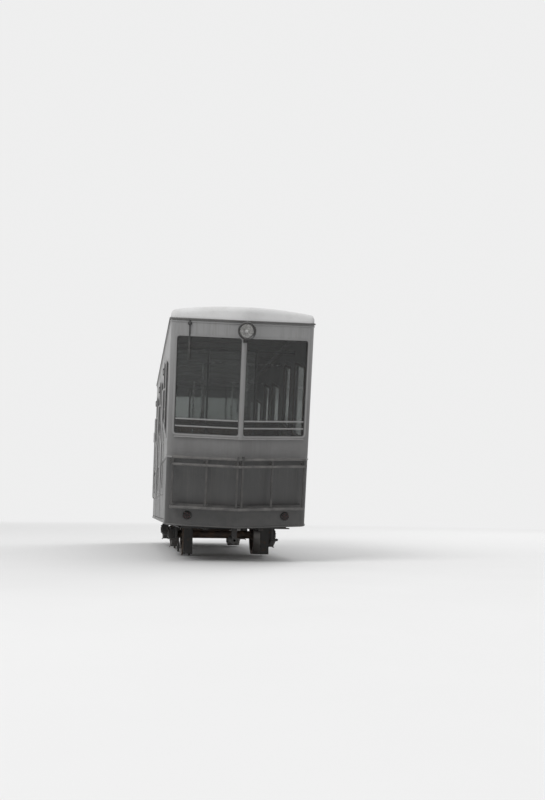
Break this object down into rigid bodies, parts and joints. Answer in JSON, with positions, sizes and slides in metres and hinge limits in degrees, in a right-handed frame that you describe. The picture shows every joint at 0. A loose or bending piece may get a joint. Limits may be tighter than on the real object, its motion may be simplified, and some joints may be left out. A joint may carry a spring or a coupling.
{
  "type": "funicular car",
  "caption": "Stepped-floor funicular car with bowed glazed ends, hinged side doors, hooded arched roof, luggage racks and flanged wheels for a steep cable line.",
  "frame": {"origin": "midway between the rails and between the two axles, at the foot of the wheel flanges", "axes": "+X across the line, +Y down the line along the rails, +Z square to the rails; the cabin's uprights lean 12.5 degrees towards -Y, so that they are plumb on the slope"},
  "size_m": [1.908, 7.8267, 3.2221],
  "materials": {
    "bench_wood": "varnished slats",
    "body_lower": "satin dark grey enamel",
    "body_upper": "satin light grey enamel",
    "desk_paint": "dark enamel",
    "floor_boards": "worn floor boards",
    "gutter_dark": "dark painted steel strip",
    "lamp_black": "black enamel",
    "lamp_glass": "fluted clear glass",
    "marker_glass": "dark red glass in a black rim",
    "polished_steel": "hand-polished steel",
    "rack_steel": "painted steel bar",
    "roof_paint": "matte pale grey roof paint",
    "spring_steel": "oiled spring steel",
    "underframe_steel": "grimy black painted steel",
    "wheel_steel": "worn rolled steel with polished treads",
    "window_glass": "clear sheet glass"
  },
  "bodies": {
    "car": {"axle_boxes": "underframe_steel", "bench_lower": "bench_wood", "bench_middle": "bench_wood", "body_bearers": "underframe_steel", "brake_handwheels": "polished_steel", "brake_unit": "underframe_steel", "driver_desks": "desk_paint", "end_downhill_lower": "body_lower", "end_downhill_upper": "body_upper", "end_glass_downhill": "window_glass", "end_glass_uphill": "window_glass", "end_uphill_lower": "body_lower", "end_uphill_upper": "body_upper", "floor_lower": "floor_boards", "floor_middle": "floor_boards", "floor_upper": "floor_boards", "grab_poles": "polished_steel", "gutter": "gutter_dark", "haul_rope_socket": "underframe_steel", "headlamp_glasses": "lamp_glass", "headlamps": "lamp_black", "hinge_lugs": "rack_steel", "leaf_springs": "spring_steel", "marker_lamps": "marker_glass", "partitions": "bench_wood", "rack_downhill": "rack_steel", "rack_uphill": "rack_steel", "rail_brakes": "underframe_steel", "rail_guards": "underframe_steel", "roof": "roof_paint", "roof_domes": "roof_paint", "side_glass_left": "window_glass", "side_glass_right": "window_glass", "side_left_lower": "body_lower", "side_left_upper": "body_upper", "side_right_lower": "body_lower", "side_right_upper": "body_upper", "tail_rope_socket": "underframe_steel", "underframe": "underframe_steel", "window_bars": "rack_steel", "wipers": "rack_steel"},
    "wheelset_uphill": {"axle_uphill": "wheel_steel", "flanged_wheel_uphill": "wheel_steel", "drum_wheel_uphill": "wheel_steel"},
    "wheelset_downhill": {"axle_downhill": "wheel_steel", "flanged_wheel_downhill": "wheel_steel", "drum_wheel_downhill": "wheel_steel"},
    "door_left_upper": {"door_left_upper": "body_upper", "door_glass_left_upper": "window_glass"},
    "door_left_middle": {"door_left_middle": "body_upper", "door_glass_left_middle": "window_glass"},
    "door_left_lower": {"door_left_lower": "body_upper", "door_glass_left_lower": "window_glass"},
    "door_right_upper": {"door_right_upper": "body_upper", "door_glass_right_upper": "window_glass"},
    "door_right_middle": {"door_right_middle": "body_upper", "door_glass_right_middle": "window_glass"},
    "door_right_lower": {"door_right_lower": "body_upper", "door_glass_right_lower": "window_glass"}
  },
  "joints": [
    {"name": "wheelset_uphill_spin", "type": "hinge", "parent": "car", "child": "wheelset_uphill", "pos_m": [0, -1.7, 0.3], "axis": [1, 0, 0], "continuous": true},
    {"name": "wheelset_downhill_spin", "type": "hinge", "parent": "car", "child": "wheelset_downhill", "pos_m": [0, 1.7, 0.3], "axis": [1, 0, 0], "continuous": true},
    {"name": "door_left_upper_hinge", "type": "hinge", "parent": "car", "child": "door_left_upper", "pos_m": [-0.916, -1.65053, 2.00242], "axis": [0, 0.2164, -0.9763], "range_deg": [0, 95]},
    {"name": "door_left_middle_hinge", "type": "hinge", "parent": "car", "child": "door_left_middle", "pos_m": [-0.916, 0.44925, 2.00242], "axis": [0, 0.2164, -0.9763], "range_deg": [0, 95]},
    {"name": "door_left_lower_hinge", "type": "hinge", "parent": "car", "child": "door_left_lower", "pos_m": [-0.916, 2.54902, 2.00242], "axis": [0, 0.2164, -0.9763], "range_deg": [0, 95]},
    {"name": "door_right_upper_hinge", "type": "hinge", "parent": "car", "child": "door_right_upper", "pos_m": [0.916, -1.65053, 2.00242], "axis": [0, -0.2164, 0.9763], "range_deg": [0, 95]},
    {"name": "door_right_middle_hinge", "type": "hinge", "parent": "car", "child": "door_right_middle", "pos_m": [0.916, 0.44925, 2.00242], "axis": [0, -0.2164, 0.9763], "range_deg": [0, 95]},
    {"name": "door_right_lower_hinge", "type": "hinge", "parent": "car", "child": "door_right_lower", "pos_m": [0.916, 2.54902, 2.00242], "axis": [0, -0.2164, 0.9763], "range_deg": [0, 95]}
  ]
}
